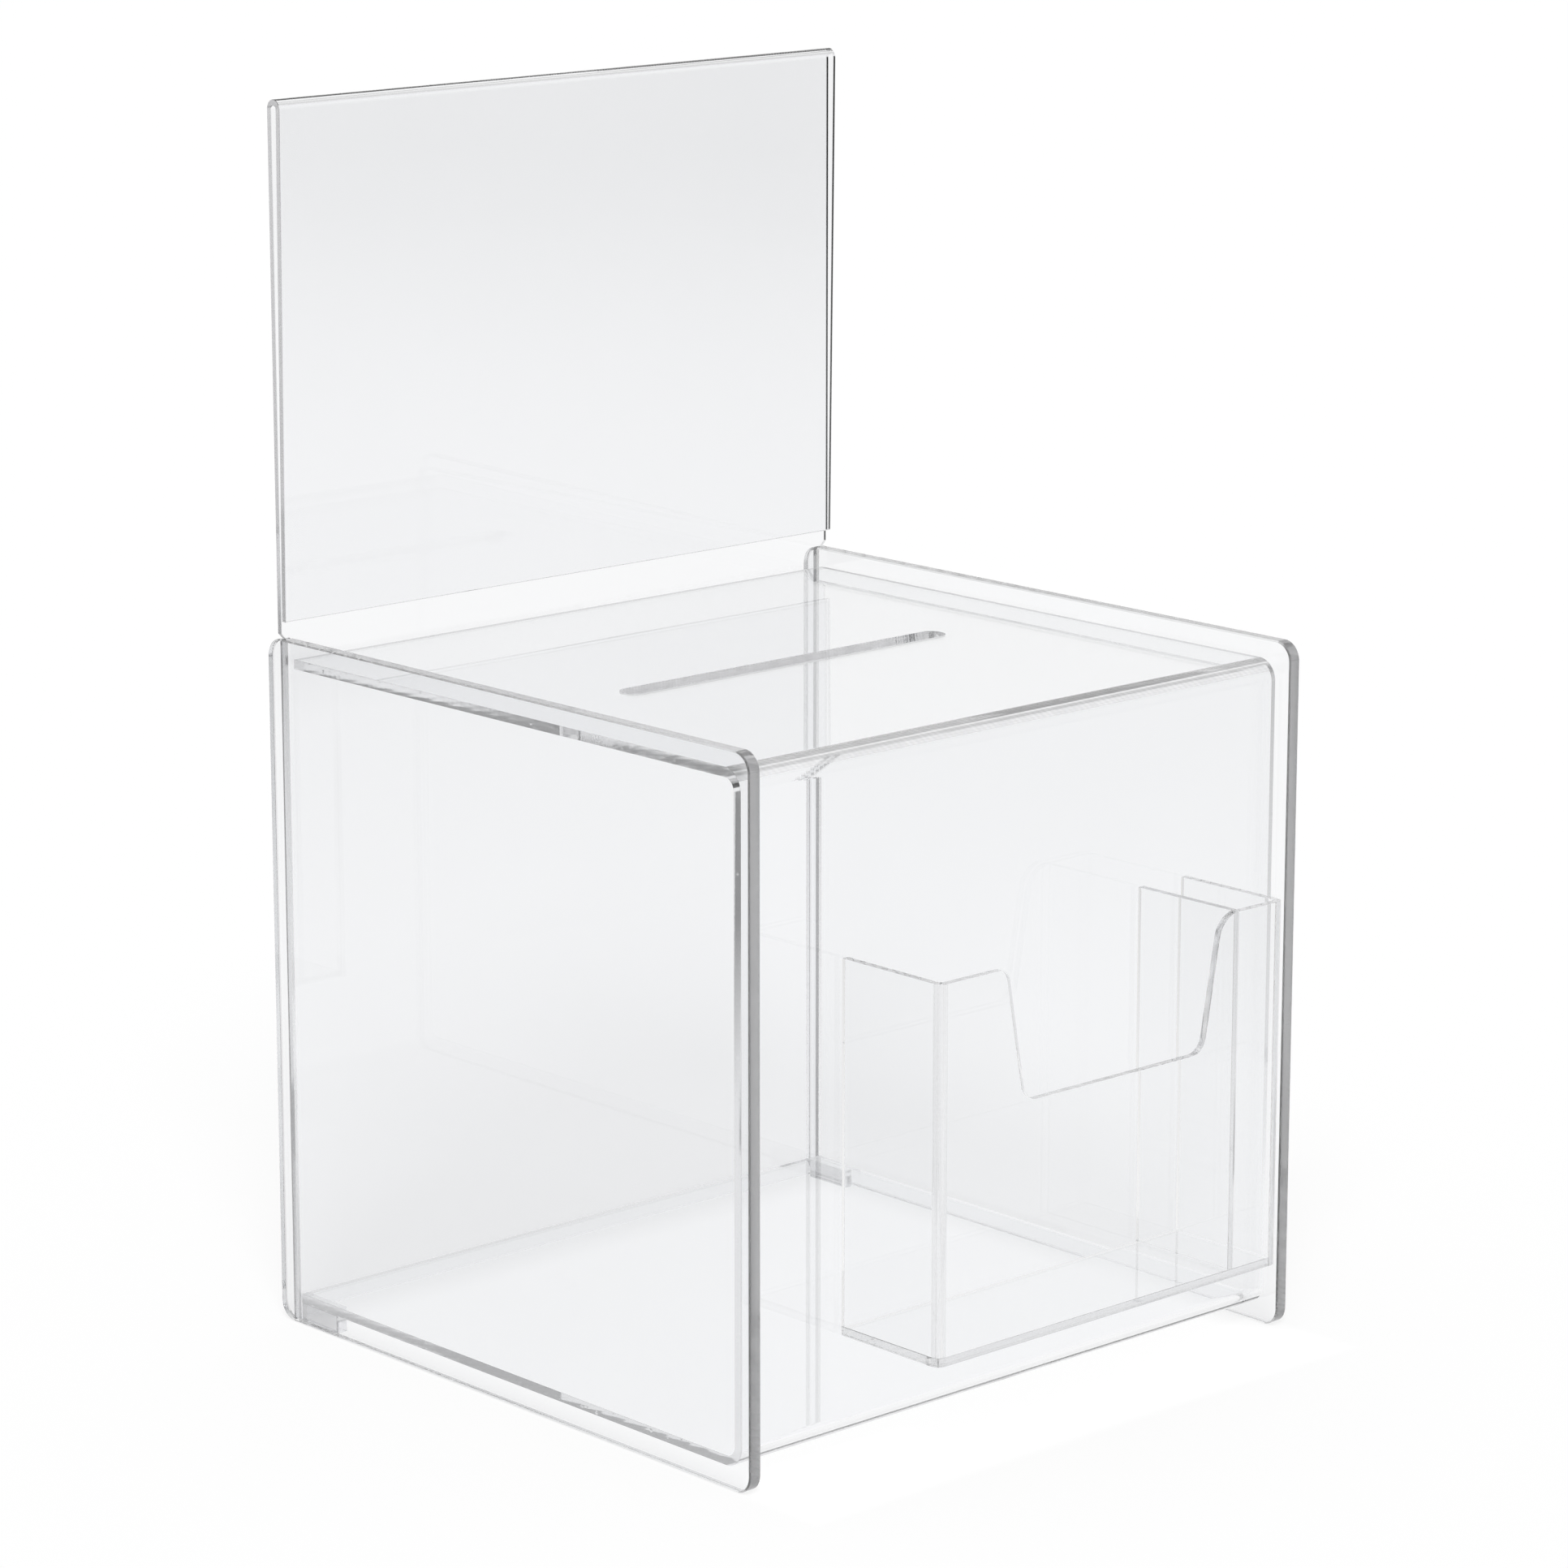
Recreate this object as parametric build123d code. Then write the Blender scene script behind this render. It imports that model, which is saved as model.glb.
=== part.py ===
from build123d import *
import math
import os

# Clear acrylic ballot box with a poster pocket and a dispenser for forms and a pen.
# All sizes are in millimetres. X runs across the front from left to right, Y runs from
# front to back and Z is up. The origin lies on the table, under the middle of the
# footprint of the whole object. Left and right are those of someone facing the front.

# Side panels: two upright sheets that carry everything and stand on the table
overall_width = 305.0
side_thickness = 6.0
side_depth = 295.0
side_height = 294.0
side_corner_radius = 8.0
side_edge_break = 0.4

# Body wrap: one sheet bent into top, front and bottom, glued between the side panels
wrap_thickness = 4.0
wrap_bend_radius = 9.0
front_setback = 8.0
top_setback = 8.0
bottom_setback = 8.0

# Slot in the top for the folded slips
slot_length = 177.0
slot_width = 12.0
slot_shift = -3.5
slot_from_front = 133.5

# Back panel: it slides in grooves and ends in the folded pocket for a poster
back_sheet = 2.5
groove_depth = 3.0
groove_from_back = 7.0
groove_play = 0.3
back_floor_gap = 1.0
top_to_back_gap = 4.0
bottom_to_back_gap = 0.7
shoulder_chamfer = 2.3
poster_height = 221.5
poster_leaf_start = 7.6
poster_fold_depth = 8.1
poster_mouth_gap = 0.4

# Dispenser on the front: a bent sheet with a place for forms and a narrow one for a pen
holder_sheet = 3.0
forms_width = 161.0
pen_width = 22.0
holder_inner_depth = 51.4
holder_height = 152.7
holder_from_table = 51.0
holder_shift = -0.9
holder_bend_radius = 4.0
holder_floor_relief = 0.8

# Finger opening in the dispenser's front
cutout_top_width = 119.4
cutout_bottom_width = 99.4
cutout_depth = 54.8
cutout_left_radius = 5.0
cutout_right_radius = 9.0
cutout_bottom_radius = 6.0

# Blocks under the rear corners of the bottom sheet
block_width = 5.6
block_length = 23.5

# How far every cutting shape reaches past what it cuts
overrun = 1.0

# Places across the width
outer_x = overall_width / 2
inner_x = outer_x - side_thickness
inner_width = inner_x * 2

# Dispenser sizes that follow from its compartments
holder_width = forms_width + pen_width + holder_sheet * 3
holder_depth = holder_inner_depth + holder_sheet
holder_reach = holder_depth - front_setback

# Places from front to back, with the origin in the middle of the footprint
side_front_y = holder_reach - (side_depth + holder_reach) / 2
side_back_y = side_front_y + side_depth
side_mid_y = (side_front_y + side_back_y) / 2
wrap_front_y = side_front_y + front_setback
groove_width = back_sheet + groove_play * 2
groove_mid_y = side_back_y - groove_from_back - groove_width / 2
back_front_y = groove_mid_y - back_sheet / 2
back_rear_y = groove_mid_y + back_sheet / 2
top_rear_y = back_front_y - top_to_back_gap
bottom_rear_y = back_front_y - bottom_to_back_gap

# Heights
wrap_top_z = side_height - top_setback
holder_top_z = holder_from_table + holder_height
poster_top_z = side_height + poster_height


def side_panel(side):
    """Upright sheet with rounded corners, broken edges and the groove for the back panel."""
    outline = Pos(side_mid_y, side_height / 2) * RectangleRounded(
        side_depth, side_height, side_corner_radius
    )
    sheet_mid_x = side * (inner_x + outer_x) / 2
    panel = extrude(Plane.YZ.offset(sheet_mid_x) * outline, side_thickness / 2, both=True)
    rims = panel.faces().filter_by(Axis.X).edges()
    panel = chamfer(rims, side_edge_break)
    groove = Box(groove_depth * 2, groove_width, side_height + overrun * 2)
    return panel - Pos(side * inner_x, groove_mid_y, side_height / 2) * groove


def bent_sheet(corners, outer_radius, thickness):
    """Section of a sheet bent along the given outer corners, with its wall on the left."""
    outer_line = FilletPolyline(*corners, radius=outer_radius)
    return make_face(offset(outer_line, thickness, side=Side.LEFT))


def body_wrap():
    """Top, front and bottom of the box in one piece, with the slot through its top."""
    section = bent_sheet(
        [
            (top_rear_y, wrap_top_z),
            (wrap_front_y, wrap_top_z),
            (wrap_front_y, bottom_setback),
            (bottom_rear_y, bottom_setback),
        ],
        wrap_bend_radius,
        wrap_thickness,
    )
    wrap = extrude(Plane.YZ * section, inner_width / 2, both=True)
    slot = extrude(SlotOverall(slot_length, slot_width), wrap_thickness + overrun, both=True)
    return wrap - Pos(slot_shift, wrap_front_y + slot_from_front, wrap_top_z) * slot


def poster_fold():
    """Section of the back sheet, folded over at the top into a narrow open pocket."""
    arc_radius = poster_fold_depth / 2
    bore_radius = arc_radius - back_sheet
    arc_z = poster_top_z - arc_radius
    arc_y = back_rear_y - arc_radius
    leaf_end_z = side_height + poster_leaf_start
    closing = poster_fold_depth - back_sheet * 2 - poster_mouth_gap
    lean = math.atan2(closing, arc_z - leaf_end_z)
    turn = math.degrees(math.pi + lean)
    leaf_length = (arc_z - leaf_end_z) / math.cos(lean)

    outer_arc = CenterArc((arc_y, arc_z), arc_radius, 0, turn)
    inner_arc = CenterArc((arc_y, arc_z), bore_radius, 0, turn)
    leaf_way = Vector(math.sin(lean), -math.cos(lean))
    outer_leaf = Line(outer_arc @ 1, outer_arc @ 1 + leaf_way * leaf_length)
    inner_leaf = Line(inner_arc @ 1, inner_arc @ 1 + leaf_way * leaf_length)
    return make_face(
        Curve()
        + [
            Line((back_rear_y, back_floor_gap), (back_rear_y, arc_z)),
            outer_arc,
            outer_leaf,
            Line(outer_leaf @ 1, inner_leaf @ 1),
            inner_leaf,
            inner_arc,
            Line((back_front_y, arc_z), (back_front_y, back_floor_gap)),
            Line((back_front_y, back_floor_gap), (back_rear_y, back_floor_gap)),
        ]
    )


def back_panel():
    """Full-width pocket above, and a narrower tongue that runs in the two grooves below."""
    panel = extrude(Plane.YZ * poster_fold(), outer_x, both=True)
    tongue_x = inner_x + groove_depth - groove_play
    past_x = outer_x + overrun
    corner = Polyline(
        (tongue_x, -overrun),
        (tongue_x, side_height),
        (outer_x - shoulder_chamfer, side_height),
        (outer_x, side_height + shoulder_chamfer),
        (past_x, side_height + shoulder_chamfer),
        (past_x, -overrun),
        close=True,
    )
    cut = extrude(Plane.XZ.offset(-groove_mid_y) * make_face(corner), back_sheet, both=True)
    return panel - cut - mirror(cut, Plane.YZ)


def holder_wrap():
    """Left wall, front and right wall of the dispenser, with the finger opening."""
    half_width = holder_width / 2
    front_y = wrap_front_y - holder_depth
    section = bent_sheet(
        [
            (-half_width, wrap_front_y),
            (-half_width, front_y),
            (half_width, front_y),
            (half_width, wrap_front_y),
        ],
        holder_bend_radius,
        holder_sheet,
    )
    walls = extrude(section, holder_height)
    top_half = cutout_top_width / 2
    bottom_half = cutout_bottom_width / 2
    lead = cutout_right_radius * 2
    rim = FilletPolyline(
        (-top_half - lead, holder_height),
        (-top_half, holder_height),
        (-bottom_half, holder_height - cutout_depth),
        (bottom_half, holder_height - cutout_depth),
        (top_half, holder_height),
        (top_half + lead, holder_height),
        radius=[cutout_left_radius, cutout_bottom_radius, cutout_bottom_radius, cutout_right_radius],
    )
    lid = Polyline(
        rim @ 1,
        (top_half + lead, holder_height + overrun),
        (-top_half - lead, holder_height + overrun),
        rim @ 0,
    )
    opening_plane = Plane.XZ.offset(-front_y - holder_sheet / 2)
    opening = extrude(opening_plane * make_face(Curve() + [rim, lid]), holder_sheet, both=True)
    return Pos(holder_shift, 0, holder_from_table) * (walls - opening)


def holder_floor():
    """Plate that closes the dispenser below, flush with the lower edge of its walls."""
    floor_width = forms_width + holder_sheet + pen_width
    plate = Box(floor_width, holder_inner_depth, holder_sheet)
    front_corners = plate.edges().filter_by(Axis.Z).group_by(Axis.Y)[0]
    corner_radius = holder_bend_radius - holder_sheet + holder_floor_relief
    plate = fillet(front_corners, corner_radius)
    mid_y = wrap_front_y - holder_inner_depth / 2
    return Pos(holder_shift, mid_y, holder_from_table + holder_sheet / 2) * plate


def holder_divider():
    """Upright sheet between the place for forms and the place for a pen."""
    divider_height = holder_height - holder_sheet
    sheet = Box(holder_sheet, holder_inner_depth, divider_height)
    mid_x = holder_shift - holder_width / 2 + holder_sheet + forms_width + holder_sheet / 2
    mid_y = wrap_front_y - holder_inner_depth / 2
    return Pos(mid_x, mid_y, holder_top_z - divider_height / 2) * sheet


def corner_block(side):
    """Small block glued under a rear corner of the bottom sheet, against the side panel."""
    block = Box(block_width, block_length, bottom_setback)
    mid_x = side * (inner_x - block_width / 2)
    return Pos(mid_x, bottom_rear_y - block_length / 2, bottom_setback / 2) * block


left = -1
right = 1

pieces = {
    "left_side_panel": side_panel(left),
    "right_side_panel": side_panel(right),
    "body_wrap": body_wrap(),
    "back_panel": back_panel(),
    "holder_wrap": holder_wrap(),
    "holder_floor": holder_floor(),
    "holder_divider": holder_divider(),
    "left_corner_block": corner_block(left),
    "right_corner_block": corner_block(right),
}

os.makedirs("parts", exist_ok=True)
for node, piece in pieces.items():
    export_step(piece, f"parts/{node}.step")
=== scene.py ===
import math

import bmesh
import bpy
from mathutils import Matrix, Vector


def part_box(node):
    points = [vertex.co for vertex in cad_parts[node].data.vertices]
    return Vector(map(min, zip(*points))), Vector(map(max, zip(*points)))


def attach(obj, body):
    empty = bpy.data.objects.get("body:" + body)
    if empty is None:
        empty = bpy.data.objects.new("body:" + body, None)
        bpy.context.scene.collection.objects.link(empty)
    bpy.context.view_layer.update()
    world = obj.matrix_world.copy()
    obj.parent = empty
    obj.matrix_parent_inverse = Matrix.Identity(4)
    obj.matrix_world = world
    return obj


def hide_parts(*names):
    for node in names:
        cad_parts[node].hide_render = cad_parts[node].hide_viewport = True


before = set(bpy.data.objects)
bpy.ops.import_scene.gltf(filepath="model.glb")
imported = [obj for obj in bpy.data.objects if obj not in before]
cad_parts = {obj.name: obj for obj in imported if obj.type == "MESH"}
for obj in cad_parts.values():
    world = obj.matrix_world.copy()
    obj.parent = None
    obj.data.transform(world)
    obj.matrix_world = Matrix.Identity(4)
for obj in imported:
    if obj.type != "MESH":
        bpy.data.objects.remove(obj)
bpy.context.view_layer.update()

MM = 0.001

# Sizes of the sheets and what is cut into them, as the solids have them
corner_radius = 8.0 * MM
panel_edge_break = 0.6 * MM
sheet_edge_break = 0.15 * MM
groove_depth = 3.0 * MM
groove_play = 0.3 * MM
wrap_thickness = 4.0 * MM
wrap_bend_radius = 9.0 * MM
top_to_back_gap = 4.0 * MM
slot_length = 177.0 * MM
slot_width = 12.0 * MM
slot_centre = Vector((-3.5, 17.2, 286.0)) * MM
back_sheet = 2.5 * MM
back_shoulder = 2.3 * MM
pocket_depth = 8.1 * MM
pocket_mouth_gap = 0.4 * MM
pocket_leaf_start = 7.6 * MM
holder_sheet = 3.0 * MM
holder_bend_radius = 4.0 * MM
cutout_top_width = 119.4 * MM
cutout_bottom_width = 99.4 * MM
cutout_depth = 54.8 * MM
cutout_left_radius = 5.0 * MM
cutout_right_radius = 9.0 * MM
cutout_bottom_radius = 6.0 * MM

# A film of air between sheets that lie against each other, and how far cutters reach
air_film = 0.05 * MM
reach = 2.0 * MM

bend_steps = 36
corner_steps = 24
sharp_angle = math.radians(40)
same_point = 0.001 * MM

X_AXIS = Vector((1, 0, 0))
Y_AXIS = Vector((0, 1, 0))
Z_AXIS = Vector((0, 0, 1))


# Modelling helpers

def flat_face(bm, corners):
    bm.faces.new([bm.verts.new(c) for c in corners])


def round_corners(bm, verts, radius):
    bmesh.ops.bevel(bm, geom=verts, offset=radius, offset_type="OFFSET", segments=corner_steps,
                    profile=0.5, affect="VERTICES", clamp_overlap=False, material=-1)


def draw_out(bm, face, way, keep_face):
    """Extrudes a face and returns its new place."""
    made = bmesh.ops.extrude_face_region(bm, geom=[face], use_keep_orig=keep_face)["geom"]
    bmesh.ops.translate(bm, vec=way, verts=[g for g in made if isinstance(g, bmesh.types.BMVert)])
    return next(g for g in made if isinstance(g, bmesh.types.BMFace))


def thicken(bm, way):
    """Turns the one flat face in a bmesh into a closed plate."""
    draw_out(bm, next(iter(bm.faces)), way, keep_face=True)
    bmesh.ops.recalc_face_normals(bm, faces=bm.faces)


def run_on(bm, face, way):
    """Lengthens the sheet from its end face and returns the new end face."""
    end = draw_out(bm, face, way, keep_face=False)
    if face.is_valid:
        bm.faces.remove(face)
    return end


def bend(bm, face, centre, axis, angle):
    """Bends the sheet on from its end face and returns the new end face."""
    geom = [face, *face.edges, *face.verts]
    made = bmesh.ops.spin(bm, geom=geom, cent=centre, axis=axis, angle=angle, steps=bend_steps,
                          use_merge=False, use_duplicate=False)["geom_last"]
    if face.is_valid:
        bm.faces.remove(face)
    return next(g for g in made if isinstance(g, bmesh.types.BMFace))


def join_stretches(bm):
    """Merges the points where a straight stretch meets a bend."""
    bmesh.ops.remove_doubles(bm, verts=bm.verts, dist=same_point)


def block(bm, low, high):
    made = bmesh.ops.create_cube(bm, size=1.0)["verts"]
    bmesh.ops.scale(bm, vec=high - low, verts=made)
    bmesh.ops.translate(bm, vec=(low + high) / 2, verts=made)


def break_edges(bm, width):
    """Takes the sharpness off the outer edges."""
    bmesh.ops.recalc_face_normals(bm, faces=bm.faces)
    sharp = [e for e in bm.edges
             if len(e.link_faces) == 2 and e.calc_face_angle_signed() > sharp_angle]
    bmesh.ops.bevel(bm, geom=sharp, offset=width, offset_type="OFFSET", segments=1,
                    profile=0.5, affect="EDGES", clamp_overlap=True, material=-1)


def cut_away(bm, cutter):
    """Cuts one closed shape out of another."""
    shapes = []
    for shape, name in ((bm, "blank"), (cutter, "cutter")):
        mesh = bpy.data.meshes.new(name)
        shape.to_mesh(mesh)
        shapes.append(bpy.data.objects.new(name, mesh))
        bpy.context.scene.collection.objects.link(shapes[-1])
    blank, tool = shapes
    cut = blank.modifiers.new("cut", "BOOLEAN")
    cut.operation = "DIFFERENCE"
    cut.solver = "EXACT"
    cut.object = tool
    done = bpy.data.meshes.new_from_object(
        blank.evaluated_get(bpy.context.evaluated_depsgraph_get()))
    bm.clear()
    bm.from_mesh(done)
    cutter.free()
    for shape in shapes:
        mesh = shape.data
        bpy.data.objects.remove(shape)
        bpy.data.meshes.remove(mesh)
    bpy.data.meshes.remove(done)


def looks(face, way, least=0.5):
    """Whether a face looks that way, with at least this share of its normal."""
    return face.normal.dot(way) > least


def lies_across(face, axis, least=0.5):
    """Whether a face looks either way along an axis."""
    return abs(face.normal.dot(axis)) > least


# Shader helpers

def node_material(name):
    material = bpy.data.materials.new(name)
    material.use_nodes = True
    return material, material.node_tree.nodes, material.node_tree.links


def feed(links, socket, value):
    """Gives a socket a number, or joins another node's output to it."""
    if isinstance(value, bpy.types.NodeSocket):
        links.new(value, socket)
    else:
        socket.default_value = value


def math_node(nodes, links, operation, *values):
    node = nodes.new("ShaderNodeMath")
    node.operation = operation
    for socket, value in zip(node.inputs, values):
        feed(links, socket, value)
    return node.outputs[0]


def to_share(nodes, links, value):
    """Turns a number from -1 to 1 into a share from 0 to 1."""
    return math_node(nodes, links, "MULTIPLY_ADD", value, 0.5, 0.5)


def graded(nodes, links, value, stops):
    """Turns a number into a grey level that runs through (number, level) pairs."""
    node = nodes.new("ShaderNodeValToRGB")
    elements = node.color_ramp.elements
    places, levels = zip(*stops)
    elements[0].position, elements[1].position = places[0], places[-1]
    for place in places[1:-1]:
        elements.new(place)
    for element, level in zip(elements, levels):
        element.color = (level, level, level, 1)
    links.new(value, node.inputs["Fac"])
    return node.outputs["Color"]


def noise(nodes, links, place, scale, detail, roughness=0.5):
    """Cloudy unevenness, with scale in waves per metre."""
    node = nodes.new("ShaderNodeTexNoise")
    node.inputs["Scale"].default_value = scale
    node.inputs["Detail"].default_value = detail
    node.inputs["Roughness"].default_value = roughness
    links.new(place, node.inputs["Vector"])
    return node.outputs["Fac"]


def own_place(nodes):
    """The piece's own coordinates."""
    return nodes.new("ShaderNodeTexCoord").outputs["Object"]


def split(nodes, links, vector):
    """The X, Y and Z of a vector."""
    node = nodes.new("ShaderNodeSeparateXYZ")
    links.new(vector, node.inputs[0])
    return node.outputs


def blend_levels(nodes, links, mask, where_off, where_on):
    mix = nodes.new("ShaderNodeMix")
    mix.data_type = "FLOAT"
    links.new(mask, mix.inputs["Factor"])
    feed(links, mix.inputs["A"], where_off)
    feed(links, mix.inputs["B"], where_on)
    return mix.outputs["Result"]


def tinted(nodes, links, factor, low, high):
    """Blends between two colours."""
    mix = nodes.new("ShaderNodeMix")
    mix.data_type = "RGBA"
    links.new(factor, mix.inputs["Factor"])
    mix.inputs["A"].default_value = (*low, 1.0)
    mix.inputs["B"].default_value = (*high, 1.0)
    return mix.outputs["Result"]


def bumped(nodes, links, shader, height, distance):
    bump = nodes.new("ShaderNodeBump")
    bump.inputs["Strength"].default_value = 1.0
    bump.inputs["Distance"].default_value = distance
    links.new(height, bump.inputs["Height"])
    links.new(bump.outputs["Normal"], shader.inputs["Normal"])


# Node groups that several finishes use

def new_group(name, inputs, outputs):
    """An empty node group with a Place vector, named inputs and named number outputs."""
    group = bpy.data.node_groups.new(name, "ShaderNodeTree")
    group.interface.new_socket("Place", in_out="INPUT", socket_type="NodeSocketVector")
    for label, kind in inputs:
        group.interface.new_socket(label, in_out="INPUT", socket_type=kind)
    for label in outputs:
        group.interface.new_socket(label, in_out="OUTPUT", socket_type="NodeSocketFloat")
    return group, group.nodes.new("NodeGroupInput"), group.nodes.new("NodeGroupOutput")


def saw_mark_group():
    """Lines are fine marks across a cut, and Chatter is a finer unevenness.

    Along is the way the cut runs, and Spacing is how far apart the lines are, in metres.
    """
    drift_reach = 1.6 * MM
    line_strength = [(0.35, 0.35), (0.65, 1.0)]
    group, given, made = new_group("saw_marks", [("Along", "NodeSocketVector"),
                                                 ("Spacing", "NodeSocketFloat")],
                                   ["Lines", "Chatter"])
    nodes, links = group.nodes, group.links
    place = given.outputs["Place"]
    along = nodes.new("ShaderNodeVectorMath")
    along.operation = "DOT_PRODUCT"
    links.new(place, along.inputs[0])
    links.new(given.outputs["Along"], along.inputs[1])
    drift = noise(nodes, links, place, scale=90.0, detail=3.0)
    drift = math_node(nodes, links, "MULTIPLY", drift, drift_reach)
    run = math_node(nodes, links, "ADD", along.outputs["Value"], drift)
    turns = math_node(nodes, links, "DIVIDE", run, given.outputs["Spacing"])
    wave = math_node(nodes, links, "SINE", math_node(nodes, links, "MULTIPLY", turns, math.tau))
    patches = noise(nodes, links, place, scale=140.0, detail=2.0)
    links.new(math_node(nodes, links, "MULTIPLY", to_share(nodes, links, wave),
                        graded(nodes, links, patches, line_strength)),
              made.inputs["Lines"])
    links.new(noise(nodes, links, place, scale=1500.0, detail=3.0, roughness=0.6),
              made.inputs["Chatter"])
    return group


def speck_group():
    """Sparse small domes: dust and nicks on a face, or bubbles in a glued joint.

    Spacing is in metres, Size is in spacings, and Share is how many places have a speck.
    """
    group, given, made = new_group("specks", [("Spacing", "NodeSocketFloat"),
                                              ("Size", "NodeSocketFloat"),
                                              ("Share", "NodeSocketFloat")], ["Specks"])
    nodes, links = group.nodes, group.links
    cells = nodes.new("ShaderNodeTexVoronoi")
    links.new(given.outputs["Place"], cells.inputs["Vector"])
    links.new(math_node(nodes, links, "DIVIDE", 1.0, given.outputs["Spacing"]),
              cells.inputs["Scale"])
    chances = nodes.new("ShaderNodeSeparateColor")
    links.new(cells.outputs["Color"], chances.inputs[0])
    chosen = math_node(nodes, links, "LESS_THAN", chances.outputs[0], given.outputs["Share"])
    width = math_node(nodes, links, "MULTIPLY", given.outputs["Size"], chances.outputs[1])
    inside = math_node(nodes, links, "DIVIDE", cells.outputs["Distance"], width)
    dome = math_node(nodes, links, "SUBTRACT", 1.0, inside)
    dome = math_node(nodes, links, "MAXIMUM", dome, 0.0)
    links.new(math_node(nodes, links, "MULTIPLY", dome, chosen), made.inputs["Specks"])
    return group


saw_marks = saw_mark_group()
specks = speck_group()


def placed_group(nodes, links, group, place, **values):
    """Puts a node group into a material, with this material's values."""
    node = nodes.new("ShaderNodeGroup")
    node.node_tree = group
    links.new(place, node.inputs["Place"])
    for label, value in values.items():
        node.inputs[label].default_value = value
    return node.outputs


# Finishes

acrylic_ior = 1.49


def acrylic(name, clear=1.0):
    """A clear material, with the nodes, links and shader to go on with."""
    material, nodes, links = node_material(name)
    shader = nodes["Principled BSDF"]
    shader.inputs["Transmission Weight"].default_value = clear
    shader.inputs["IOR"].default_value = acrylic_ior
    return material, nodes, links, shader


def clear_face(name, tint, cloud):
    """Polished face, with clouds that are darker than its tint, and a little dull dust."""
    dust_roughness = 0.3
    material, nodes, links, shader = acrylic(name)
    place = own_place(nodes)
    dust = placed_group(nodes, links, specks, place, Spacing=11.0 * MM, Size=0.035, Share=0.05)
    clouds = noise(nodes, links, place, scale=22.0, detail=5.0, roughness=0.65)
    darker = tuple(c - cloud for c in tint)
    links.new(tinted(nodes, links, clouds, darker, tint), shader.inputs["Base Color"])
    links.new(math_node(nodes, links, "MULTIPLY", dust["Specks"], dust_roughness),
              shader.inputs["Roughness"])
    return material


def cut_edge(name, along, spacing, tint, contrast, haze, depth, nicks, clear=1.0):
    """Cut edge or heated bend: hazy, with two sets of fine lines and a few nicks.

    along and spacing are for the stronger set, and contrast is how much paler than tint the
    lines get. haze is the mean roughness, depth is how far the stronger lines stand up, and
    nicks is the share of places that have one.
    """
    strong_share = 0.6
    chatter_height = 0.1
    material, nodes, links, shader = acrylic(name, clear)
    place = own_place(nodes)
    marks = placed_group(nodes, links, saw_marks, place, Along=along, Spacing=spacing)
    faint = placed_group(nodes, links, saw_marks, place, Along=Z_AXIS, Spacing=0.9 * MM)
    nicked = placed_group(nodes, links, specks, place, Spacing=4.0 * MM, Size=0.12, Share=nicks)
    pale = tuple(min(1.0, c * (1.0 + contrast)) for c in tint)
    grain = math_node(nodes, links, "MULTIPLY_ADD", marks["Lines"], strong_share,
                      math_node(nodes, links, "MULTIPLY", faint["Lines"], 1.0 - strong_share))
    links.new(tinted(nodes, links, grain, tint, pale), shader.inputs["Base Color"])
    rough = math_node(nodes, links, "MULTIPLY_ADD", marks["Chatter"], haze, haze / 2)
    links.new(rough, shader.inputs["Roughness"])
    height = math_node(nodes, links, "MULTIPLY_ADD", marks["Chatter"], chatter_height,
                       marks["Lines"])
    height = math_node(nodes, links, "SUBTRACT", height, nicked["Specks"])
    bumped(nodes, links, shader, height, depth)
    return material


def glued_edge():
    """Edge face in a cemented joint: nearly clear, with streaks and small bubbles."""
    flow_tint = (0.93, 0.93, 0.94)
    clear_tint = (0.99, 0.99, 0.99)
    streak_roughness = 0.06
    streak_height = 0.003 * MM
    bubble_height = 8.0
    material, nodes, links, shader = acrylic("glued_edge")
    place = own_place(nodes)
    bubbles = placed_group(nodes, links, specks, place, Spacing=3.0 * MM, Size=0.3, Share=0.25)
    streaks = placed_group(nodes, links, saw_marks, place, Along=(0.0, 0.18, 1.0),
                           Spacing=2.1 * MM)
    flow = noise(nodes, links, place, scale=60.0, detail=4.0)
    links.new(tinted(nodes, links, flow, flow_tint, clear_tint), shader.inputs["Base Color"])
    links.new(math_node(nodes, links, "MULTIPLY", streaks["Chatter"], streak_roughness),
              shader.inputs["Roughness"])
    height = math_node(nodes, links, "ADD", streaks["Lines"],
                       math_node(nodes, links, "MULTIPLY", bubbles["Specks"], bubble_height))
    bumped(nodes, links, shader, height, streak_height)
    return material


thick_face = clear_face("clear_thick_face", tint=(0.976, 0.98, 0.987), cloud=0.014)
thin_face = clear_face("clear_thin_face", tint=(0.998, 0.999, 1.0), cloud=0.006)
pocket_face = clear_face("clear_pocket_face", tint=(0.978, 0.981, 0.988), cloud=0.01)
# Cut edge tinted dark: painted shade that stands for the dark studio mirrored in the side panels'
# front edges
painted_shade_edge = cut_edge("painted_shade_edge", along=(0.0, 1.0, 1.0), spacing=1.8 * MM,
                      tint=(0.39, 0.39, 0.395), contrast=0.12, haze=0.1, depth=0.001 * MM,
                      nicks=0.03, clear=0.8)
sawn_edge = cut_edge("sawn_edge", along=(1.0, 0.2, 0.3), spacing=5.0 * MM,
                     tint=(0.8, 0.8, 0.81), contrast=0.22, haze=0.04, depth=0.004 * MM,
                     nicks=0.1)
slot_edge = cut_edge("slot_edge", along=(1.0, 1.0, 0.1), spacing=1.6 * MM,
                     tint=(0.52, 0.52, 0.53), contrast=1.0, haze=0.05, depth=0.02 * MM,
                     nicks=0.12)
rim_edge = cut_edge("rim_edge", along=(1.0, 1.0, 0.3), spacing=6.0 * MM,
                    tint=(0.52, 0.52, 0.53), contrast=0.8, haze=0.02, depth=0.002 * MM,
                    nicks=0.25)
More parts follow.
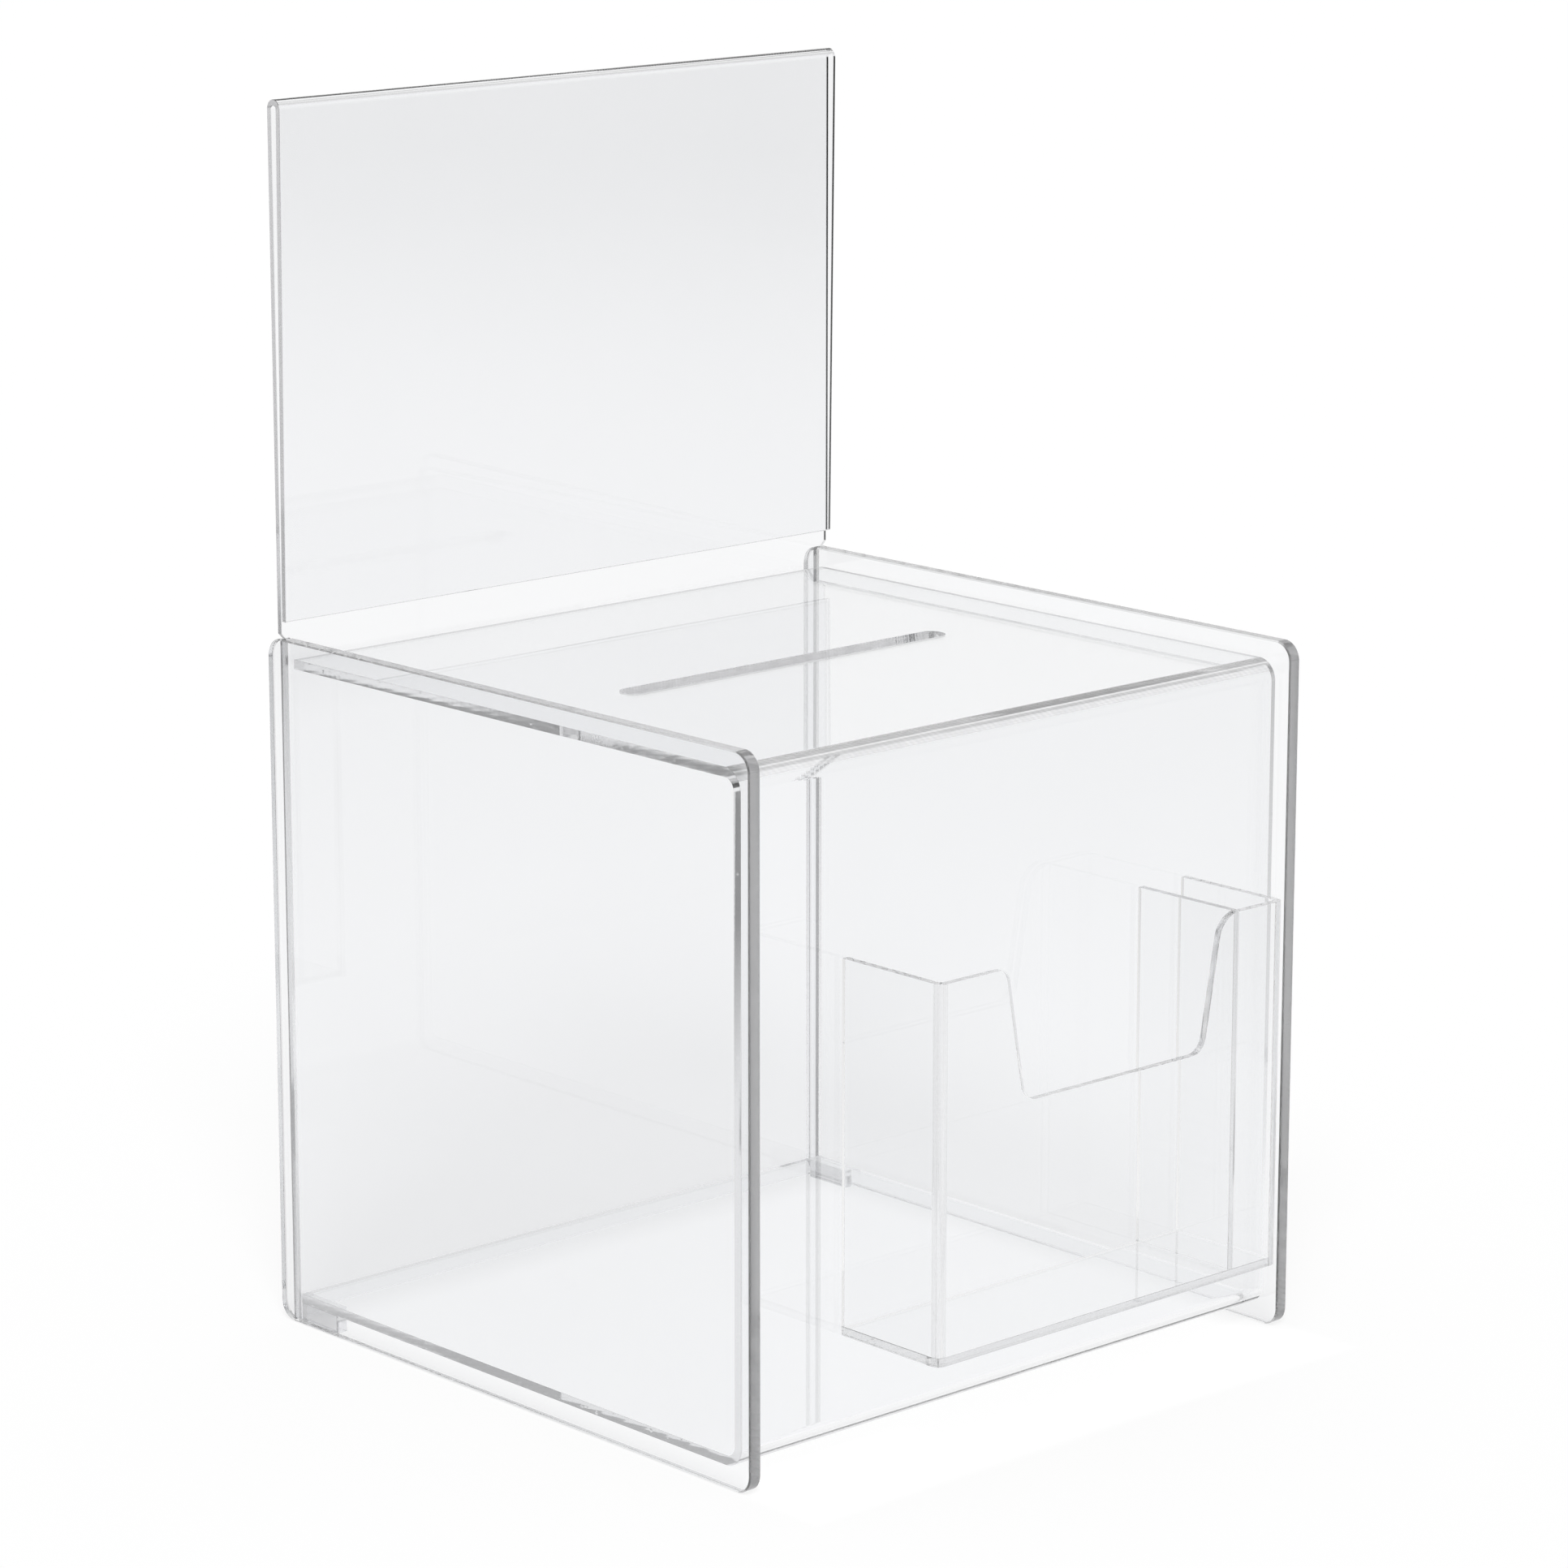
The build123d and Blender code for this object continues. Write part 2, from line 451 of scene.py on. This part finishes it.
# The same cut edge tinted lighter: painted light, as from above, on the side panels' top, bottom
# and rear edges
painted_light_edge = cut_edge("painted_light_edge", along=(0.0, 1.0, 1.0), spacing=1.8 * MM,
                       tint=(0.75, 0.75, 0.76), contrast=0.15, haze=0.1, depth=0.001 * MM,
                       nicks=0.03, clear=0.95)
polished_edge = cut_edge("polished_edge", along=(1.0, 1.0, 0.3), spacing=3.0 * MM,
                         tint=(0.92, 0.92, 0.93), contrast=0.07, haze=0.03,
                         depth=0.0005 * MM, nicks=0.03)
hazy_edge = cut_edge("hazy_edge", along=(1.0, 1.0, 0.3), spacing=3.0 * MM,
                     tint=(0.94, 0.94, 0.95), contrast=0.06, haze=0.07,
                     depth=0.0005 * MM, nicks=0.03)
heated_bend = cut_edge("heated_bend", along=(1.0, 0.5, 0.5), spacing=3.0 * MM,
                       tint=(0.8, 0.8, 0.805), contrast=0.24, haze=0.04, depth=0.001 * MM,
                       nicks=0.01, clear=0.68)
soft_bend = cut_edge("soft_bend", along=(0.0, 0.3, 1.0), spacing=3.0 * MM,
                     tint=(0.9, 0.9, 0.905), contrast=0.05, haze=0.1, depth=0.0005 * MM,
                     nicks=0.01, clear=0.82)
pocket_edge = cut_edge("pocket_edge", along=(0.2, 0.2, 1.0), spacing=4.0 * MM,
                       tint=(0.66, 0.66, 0.67), contrast=0.1, haze=0.09, depth=0.0005 * MM,
                       nicks=0.05)
joint = glued_edge()


def finish_piece(name, bm, node, body, finishes, choose):
    """Makes the object, gives each face its finish and hangs the piece on its body."""
    bmesh.ops.recalc_face_normals(bm, faces=bm.faces)
    for face in bm.faces:
        face.smooth = False
        face.material_index = finishes.index(choose(face))
    mesh = bpy.data.meshes.new(name)
    bm.to_mesh(mesh)
    bm.free()
    for finish in finishes:
        mesh.materials.append(finish)
    piece = bpy.data.objects.new(name, mesh)
    bpy.context.scene.collection.objects.link(piece)
    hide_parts(node)
    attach(piece, body)


# Side panels

def side_panel(side, node):
    """An upright sheet with a groove in its inner face. side is -1 on the left, 1 on the right."""
    low, high = (Vector(c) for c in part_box(node))
    bm = bmesh.new()
    flat_face(bm, [(low.x, low.y, low.z), (low.x, high.y, low.z),
                   (low.x, high.y, high.z), (low.x, low.y, high.z)])
    round_corners(bm, bm.verts[:], corner_radius)
    thicken(bm, X_AXIS * (high.x - low.x))
    break_edges(bm, panel_edge_break)
    inner_x = high.x if side < 0 else low.x
    left_x, right_x = sorted((inner_x - side * reach, inner_x + side * groove_depth))
    back_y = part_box("back_panel")[1][1]
    groove = bmesh.new()
    block(groove, Vector((left_x, back_y - back_sheet - groove_play, low.z - reach)),
          Vector((right_x, back_y + groove_play, high.z + reach)))
    cut_away(bm, groove)

    def choose(face):
        # Front edges get the dark painted-shade copy of the edge, and top, bottom and rear edges
        # get the lighter painted-light copy
        if lies_across(face, X_AXIS, least=0.9):
            return thick_face
        at_rear = looks(face, Y_AXIS)
        return painted_light_edge if at_rear or lies_across(face, Z_AXIS, least=0.7) else painted_shade_edge

    finish_piece(node.replace("_panel", "_sheet"), bm, node, "box",
                 [thick_face, painted_shade_edge, painted_light_edge], choose)


# Body wrap

def slot_cutter():
    """A plate with the slot's outline. Its ends are a hair less than round, so no points meet."""
    end_share = 0.9999
    cut_half = reach * 4
    slot = bmesh.new()
    half = Vector((slot_length, slot_width, 0)) / 2
    flat_face(slot, [slot_centre + Vector((sx * half.x, sy * half.y, -cut_half))
                     for sx, sy in ((-1, -1), (1, -1), (1, 1), (-1, 1))])
    round_corners(slot, slot.verts[:], half.y * end_share)
    thicken(slot, Z_AXIS * cut_half * 2)
    return slot


def body_wrap():
    low, high = (Vector(c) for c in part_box("body_wrap"))
    low.x += air_film
    high.x -= air_film
    back_front_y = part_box("back_panel")[1][1] - back_sheet
    top_rear_y = back_front_y - top_to_back_gap
    turn_y = low.y + wrap_bend_radius
    top_turn = Vector((0, turn_y, high.z - wrap_bend_radius))
    bottom_turn = Vector((0, turn_y, low.z + wrap_bend_radius))
    bm = bmesh.new()
    flat_face(bm, [(low.x, top_rear_y, high.z), (high.x, top_rear_y, high.z),
                   (high.x, top_rear_y, high.z - wrap_thickness),
                   (low.x, top_rear_y, high.z - wrap_thickness)])
    thicken(bm, Y_AXIS * (turn_y - top_rear_y))
    end = min(bm.faces, key=lambda f: f.calc_center_median().y)
    end = bend(bm, end, top_turn, X_AXIS, math.pi / 2)
    end = run_on(bm, end, Z_AXIS * (bottom_turn.z - top_turn.z))
    end = bend(bm, end, bottom_turn, X_AXIS, math.pi / 2)
    run_on(bm, end, Y_AXIS * (high.y - turn_y))
    join_stretches(bm)
    cut_away(bm, slot_cutter())
    break_edges(bm, sheet_edge_break)

    def choose(face):
        middle = face.calc_center_median()
        from_slot = middle - slot_centre
        if abs(middle.x) > high.x - sheet_edge_break:
            return joint
        if (not lies_across(face, Z_AXIS)
                and abs(from_slot.x) <= slot_length / 2 + sheet_edge_break
                and abs(from_slot.y) <= slot_width / 2 + sheet_edge_break):
            return slot_edge
        if middle.y > top_rear_y - sheet_edge_break and looks(face, Y_AXIS):
            return sawn_edge if middle.z > top_turn.z else hazy_edge
        on_bend = middle.y < turn_y and looks(face, Z_AXIS) and looks(face, -Y_AXIS, least=0.02)
        return heated_bend if on_bend else thick_face

    finish_piece("body_sheet", bm, "body_wrap", "box",
                 [thick_face, joint, slot_edge, sawn_edge, hazy_edge, heated_bend], choose)


# Back panel with its poster pocket

def back_panel():
    low, high = (Vector(c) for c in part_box("back_panel"))
    groove_bottom_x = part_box("right_side_panel")[0][0] + groove_depth
    tongue_x = groove_bottom_x - groove_play
    side_top_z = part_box("right_side_panel")[1][2] + air_film
    arc_radius = pocket_depth / 2
    arc_z = high.z - arc_radius
    outline = [(tongue_x, low.z), (tongue_x, side_top_z), (high.x - back_shoulder, side_top_z),
               (high.x, side_top_z + back_shoulder), (high.x, arc_z)]
    corners = [*outline, *((-x, z) for x, z in reversed(outline))]
    bm = bmesh.new()
    flat_face(bm, [(x, high.y, z) for x, z in corners])
    thicken(bm, -Y_AXIS * back_sheet)
    end = max(bm.faces, key=lambda f: f.calc_center_median().z)
    leaf_end_z = side_top_z + pocket_leaf_start
    lean = math.atan2(pocket_depth - back_sheet * 2 - pocket_mouth_gap, arc_z - leaf_end_z)
    end = bend(bm, end, Vector((0, high.y - arc_radius, arc_z)), X_AXIS, math.pi + lean)
    leaf = Vector((0, math.sin(lean), -math.cos(lean))) * (arc_z - leaf_end_z) / math.cos(lean)
    run_on(bm, end, leaf)
    join_stretches(bm)
    break_edges(bm, sheet_edge_break)

    def choose(face):
        if lies_across(face, X_AXIS, least=0.3):
            return pocket_edge if face.calc_center_median().z > side_top_z else hazy_edge
        if looks(face, -Z_AXIS) and face.calc_area() > back_sheet ** 2:
            return polished_edge
        return pocket_face

    finish_piece("back_sheet", bm, "back_panel", "lift_out_back",
                 [pocket_face, pocket_edge, hazy_edge, polished_edge], choose)


# Dispenser for forms and a pen

def finger_cutter(mid_x, front_y, top_z):
    """A plate with the outline of the sloping finger opening, whose four corners are round."""
    top_half, bottom_half = cutout_top_width / 2, cutout_bottom_width / 2
    lead = cutout_right_radius * 2
    above_z = top_z + reach
    cut_z = top_z - cutout_depth
    outline = [(-top_half - lead, above_z), (-top_half - lead, top_z), (-top_half, top_z),
               (-bottom_half, cut_z), (bottom_half, cut_z),
               (top_half, top_z), (top_half + lead, top_z), (top_half + lead, above_z)]
    radii = [cutout_left_radius, cutout_bottom_radius, cutout_bottom_radius, cutout_right_radius]
    opening = bmesh.new()
    flat_face(opening, [(mid_x + x, front_y - reach, z) for x, z in outline])
    for corner, radius in zip(opening.verts[:][2:6], radii):
        round_corners(opening, [corner], radius)
    thicken(opening, Y_AXIS * (holder_sheet + reach * 2))
    return opening


def holder_wrap():
    low, high = (Vector(c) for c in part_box("holder_wrap"))
    rear_y = high.y - air_film
    turn_left = Vector((low.x + holder_bend_radius, low.y + holder_bend_radius, 0))
    turn_right = Vector((high.x - holder_bend_radius, low.y + holder_bend_radius, 0))
    bm = bmesh.new()
    flat_face(bm, [(turn_left.x, low.y, low.z), (turn_right.x, low.y, low.z),
                   (turn_right.x, low.y, high.z), (turn_left.x, low.y, high.z)])
    thicken(bm, Y_AXIS * holder_sheet)
    left_end = min(bm.faces, key=lambda f: f.calc_center_median().x)
    right_end = max(bm.faces, key=lambda f: f.calc_center_median().x)
    for end, turn, angle in ((left_end, turn_left, -math.pi / 2),
                             (right_end, turn_right, math.pi / 2)):
        run_on(bm, bend(bm, end, turn, Z_AXIS, angle), Y_AXIS * (rear_y - turn.y))
    join_stretches(bm)
    cut_away(bm, finger_cutter((low.x + high.x) / 2, low.y, high.z))
    break_edges(bm, sheet_edge_break)

    def choose(face):
        at_rear = face.calc_center_median().y > rear_y - sheet_edge_break
        if at_rear and looks(face, Y_AXIS, least=0.9):
            return joint
        if looks(face, Z_AXIS, least=0.05):
            return rim_edge
        bent = looks(face, -X_AXIS, least=0.02) and lies_across(face, Y_AXIS, least=0.02)
        return soft_bend if bent and not looks(face, -Z_AXIS) else thin_face

    finish_piece("holder_sheet", bm, "holder_wrap", "box",
                 [thin_face, joint, rim_edge, soft_bend], choose)


def holder_floor():
    low, high = (Vector(c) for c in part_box("holder_floor"))
    film = Vector((air_film, air_film, 0))
    bm = bmesh.new()
    block(bm, low + film, high - film)
    break_edges(bm, sheet_edge_break)

    def choose(face):
        return thin_face if lies_across(face, Z_AXIS) else joint

    finish_piece("holder_floor_plate", bm, "holder_floor", "box",
                 [thin_face, joint], choose)


def holder_divider():
    low, high = (Vector(c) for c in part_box("holder_divider"))
    bm = bmesh.new()
    block(bm, low + Vector((0, air_film, air_film)), high - Vector((0, air_film, 0)))
    break_edges(bm, sheet_edge_break)

    def choose(face):
        if looks(face, Z_AXIS):
            return rim_edge
        return thin_face if lies_across(face, X_AXIS) else joint

    finish_piece("holder_divider_plate", bm, "holder_divider", "box",
                 [thin_face, joint, rim_edge], choose)


# Corner blocks under the bottom sheet

def corner_block(node):
    low, high = (Vector(c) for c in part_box(node))
    side_film = Vector((air_film, 0, 0))
    bm = bmesh.new()
    block(bm, low + side_film, high - side_film - Vector((0, 0, air_film)))
    break_edges(bm, sheet_edge_break)

    def choose(face):
        if lies_across(face, Y_AXIS):
            return polished_edge
        if lies_across(face, X_AXIS):
            return pocket_edge
        return joint if looks(face, Z_AXIS) else thick_face

    finish_piece(node + "_piece", bm, node, "box",
                 [thick_face, joint, polished_edge, pocket_edge], choose)


side_panel(-1, "left_side_panel")
side_panel(1, "right_side_panel")
body_wrap()
back_panel()
holder_wrap()
holder_floor()
holder_divider()
corner_block("left_corner_block")
corner_block("right_corner_block")


# Floor and studio

# Glossy turns that a ray has behind it when it was mirrored, or guided along inside a sheet,
# and diffuse turns when it goes on from a matt face to gather light there
mirrored_from = 0.5
guided_from = 3.5
gathering_from = 0.5

# What the eye sees of floor and studio is white. What the sheets mirror of them is dimmer, and
# what they guide along inside themselves has levels of its own. Each list holds places and
# the level at each, and the level runs evenly from one place to the next
floor_radius = 30.0
floor_sides = 96
floor_drop = 0.3 * MM
floor_tone = 0.16

# The mirrored floor, by its distance from the middle in shares of the reach in metres
floor_mirror_reach = 5.0
floor_mirrored = [(0.0, 1.0), (0.12, 0.85), (0.2, 0.72), (0.42, 0.6), (0.54, 0.42),
                  (0.68, 0.15)]

# Its dimmer half at the back left and a dark corner there, in shares of their own reach
back_left_reach = 3.0
dimmer_side = [(0.0, 1.0), (0.05, 0.82)]
dark_corner = [(0.36, 1.0), (0.42, 0.03)]
dark_corner_slant = -1.6

# The guided floor, from 0 at a metre in front to 1 at a metre behind, and a painted shadow of the
# box: how much of that is left near the middle and right of the box from its rear part on, by
# distance in metres
guided_level = 0.85
guided_on_floor = [(0.03, 1.0), (0.06, 0.45), (0.1, 0.2), (0.2, 0.2), (0.33, guided_level)]
painted_shadow_near_box = [(0.33, 0.45), (0.42, 1.0)]
painted_shadow_right_of_box = [(0.14, 1.0), (0.16, 0.45)]
box_right_x = 0.15
rear_part_from = 0.06

# The studio, guided and mirrored, from 0 in front to 1 behind or from the horizon, 0, up to 1
guided_in_studio = [(0.35, 0.25), (0.6, guided_level)]
guided_overhead = [(0.3, 0.0), (0.45, 1.0)]
mirrored_front = [(0.15, 0.58), (0.8, 1.0)]
mirrored_rise = [(0.38, 0.95), (0.5, 0.8), (0.8, 0.8), (0.9, 1.0)]

# Painted light on the floor under the box, a glow that stands in for the light that the clear
# sheets let through, out to its sides at 1
under_box_reach = Vector((0.155, 0.165, 1.0))
painted_under_box_light = [(0.85, 0.135), (1.0, 0.0)]

# The lamp's share of the light on the object. The studio gives the rest
key_share = 0.6


def mirror_masks(nodes, links):
    """The light path, with masks for rays that a sheet mirrored and those guided inside one."""
    path = nodes.new("ShaderNodeLightPath")
    turns = path.outputs["Glossy Depth"]
    mirrored = math_node(nodes, links, "GREATER_THAN", turns, mirrored_from)
    guided = math_node(nodes, links, "GREATER_THAN", turns, guided_from)
    return path, mirrored, guided


def mirrored_floor(nodes, links, spot, distance):
    """The floor as a sheet mirrors it: dimmer outwards, and most at the back left."""
    far = math_node(nodes, links, "DIVIDE", distance, floor_mirror_reach)
    back_left = math_node(nodes, links, "SUBTRACT", spot["Y"], spot["X"])
    corner = math_node(nodes, links, "MINIMUM", spot["Y"],
                       math_node(nodes, links, "MULTIPLY", spot["X"], dark_corner_slant))
    level = graded(nodes, links, far, floor_mirrored)
    for place, stops in ((back_left, dimmer_side), (corner, dark_corner)):
        share = math_node(nodes, links, "DIVIDE", place, back_left_reach)
        level = math_node(nodes, links, "MULTIPLY", level, graded(nodes, links, share, stops))
    return level


def guided_floor(nodes, links, spot, distance):
    """The floor seen along inside a sheet: dimmer in front, and darker close to the box's right
    rear, a painted shadow of the box.
    """
    front_back = graded(nodes, links, to_share(nodes, links, spot["Y"]), guided_on_floor)
    near = graded(nodes, links, distance, painted_shadow_near_box)
    rear = math_node(nodes, links, "ADD", spot["Y"], box_right_x - rear_part_from)
    right_rear = math_node(nodes, links, "MINIMUM", spot["X"], rear)
    # Painted shadow of the box: darker only where the floor is both near the box and at its right
    # rear
    painted_shadow_level = math_node(nodes, links, "MAXIMUM", near,
                       graded(nodes, links, right_rear, painted_shadow_right_of_box))
    return math_node(nodes, links, "MULTIPLY", front_back, painted_shadow_level)


def painted_light_under_box(nodes, links, place):
    """A soft-edged rectangle of painted light, by the larger share of the way to its sides."""
    across = nodes.new("ShaderNodeVectorMath")
    across.operation = "DIVIDE"
    across.inputs[1].default_value = under_box_reach
    links.new(place, across.inputs[0])
    shares = split(nodes, links, across.outputs[0])
    edge_share = math_node(nodes, links, "MAXIMUM",
                           math_node(nodes, links, "ABSOLUTE", shares["X"]),
                           math_node(nodes, links, "ABSOLUTE", shares["Y"]))
    return graded(nodes, links, edge_share, painted_under_box_light)


def floor_finish():
    """Matt floor that glows white to the eye, with painted light under the box, and keeps the
    shadow of the box.
    """
    material, nodes, links = node_material("floor")
    shader = nodes["Principled BSDF"]
    shader.inputs["Roughness"].default_value = 1.0
    shader.inputs["Specular IOR Level"].default_value = 0.0
    shader.inputs["Emission Color"].default_value = (1, 1, 1, 1)
    path, mirrored, guided = mirror_masks(nodes, links)
    place = own_place(nodes)
    spot = split(nodes, links, place)
    length = nodes.new("ShaderNodeVectorMath")
    length.operation = "LENGTH"
    links.new(place, length.inputs[0])
    distance = length.outputs["Value"]
    # Painted light under the box, added to the glow that the eye sees
    plain = math_node(nodes, links, "ADD", painted_light_under_box(nodes, links, place), 1.0 - floor_tone)
    dim = blend_levels(nodes, links, guided, mirrored_floor(nodes, links, spot, distance),
                       guided_floor(nodes, links, spot, distance))
    glow = blend_levels(nodes, links, mirrored, plain, dim)
    seen = math_node(nodes, links, "LESS_THAN", path.outputs["Diffuse Depth"], gathering_from)
    links.new(math_node(nodes, links, "MULTIPLY", glow, seen), shader.inputs["Emission Strength"])
    tone = blend_levels(nodes, links, mirrored, floor_tone, 0.0)
    grey = nodes.new("ShaderNodeCombineXYZ")
    for socket in grey.inputs:
        links.new(tone, socket)
    links.new(grey.outputs[0], shader.inputs["Base Color"])
    return material


def pale_floor():
    mesh = bpy.data.meshes.new("floor")
    bm = bmesh.new()
    bmesh.ops.create_circle(bm, cap_ends=True, segments=floor_sides, radius=floor_radius)
    bmesh.ops.translate(bm, vec=(0, 0, -floor_drop), verts=bm.verts)
    bm.to_mesh(mesh)
    bm.free()
    floor = bpy.data.objects.new("floor", mesh)
    bpy.context.scene.collection.objects.link(floor)
    mesh.materials.append(floor_finish())


def studio_world():
    """White all round to the eye, but mirrored with a dimmer front and a dimmer belt halfway up."""
    world = bpy.data.worlds.new("studio")
    bpy.context.scene.world = world
    world.use_nodes = True
    nodes, links = world.node_tree.nodes, world.node_tree.links
    background = nodes["Background"]
    background.inputs["Color"].default_value = (1, 1, 1, 1)
    path, mirrored, guided = mirror_masks(nodes, links)
    way = split(nodes, links, nodes.new("ShaderNodeTexCoord").outputs["Generated"])
    depth = to_share(nodes, links, way["Y"])
    dim = math_node(nodes, links, "MULTIPLY", graded(nodes, links, way["Z"], mirrored_rise),
                    graded(nodes, links, depth, mirrored_front))
    along = blend_levels(nodes, links, graded(nodes, links, way["Z"], guided_overhead),
                         graded(nodes, links, depth, guided_in_studio), guided_level)
    dim = blend_levels(nodes, links, guided, dim, along)
    level = blend_levels(nodes, links, mirrored, 1.0, dim)
    gathering = math_node(nodes, links, "GREATER_THAN", path.outputs["Diffuse Depth"],
                          gathering_from)
    links.new(blend_levels(nodes, links, gathering, level, 1.0 - key_share),
              background.inputs["Strength"])


# Lamp and camera, with angles in degrees, lens and sensor in millimetres

key_elevation = 50.0
key_softness = 24.0
camera_azimuth = -42.548
camera_elevation = 13.237
camera_place = Vector((-1513.453, -1626.479, 759.526)) * MM
camera_lens = 127.85
camera_sensor = 36.0
camera_sees_to = 100.0


def aim(thing, azimuth, elevation):
    """Turns a lamp or camera so that it looks down at the box from that side."""
    azimuth, elevation = math.radians(azimuth), math.radians(elevation)
    way = Vector((-math.sin(azimuth) * math.cos(elevation),
                  math.cos(azimuth) * math.cos(elevation), -math.sin(elevation)))
    thing.rotation_mode = "QUATERNION"
    thing.rotation_quaternion = way.to_track_quat("-Z", "Y")


def key_light():
    """A soft lamp behind the camera, so that the shadow falls behind the box."""
    data = bpy.data.lights.new("key", "SUN")
    data.angle = math.radians(key_softness)
    data.energy = key_share * math.pi / math.sin(math.radians(key_elevation))
    lamp = bpy.data.objects.new("key", data)
    bpy.context.scene.collection.objects.link(lamp)
    lamp.visible_glossy = False
    lamp.visible_transmission = False
    aim(lamp, camera_azimuth, key_elevation)


def photo_camera():
    data = bpy.data.cameras.new("camera")
    data.lens = camera_lens
    data.sensor_width = camera_sensor
    data.clip_end = camera_sees_to
    camera = bpy.data.objects.new("camera", data)
    bpy.context.scene.collection.objects.link(camera)
    camera.location = camera_place
    aim(camera, camera_azimuth, camera_elevation)
    bpy.context.scene.camera = camera


pale_floor()
studio_world()
key_light()
photo_camera()

# Light runs along inside a sheet from end to end, and needs this many turns for it
light_bounces = 160

scene = bpy.context.scene
scene.view_settings.view_transform = "Standard"
scene.cycles.max_bounces = light_bounces
scene.cycles.transmission_bounces = light_bounces
scene.cycles.glossy_bounces = light_bounces
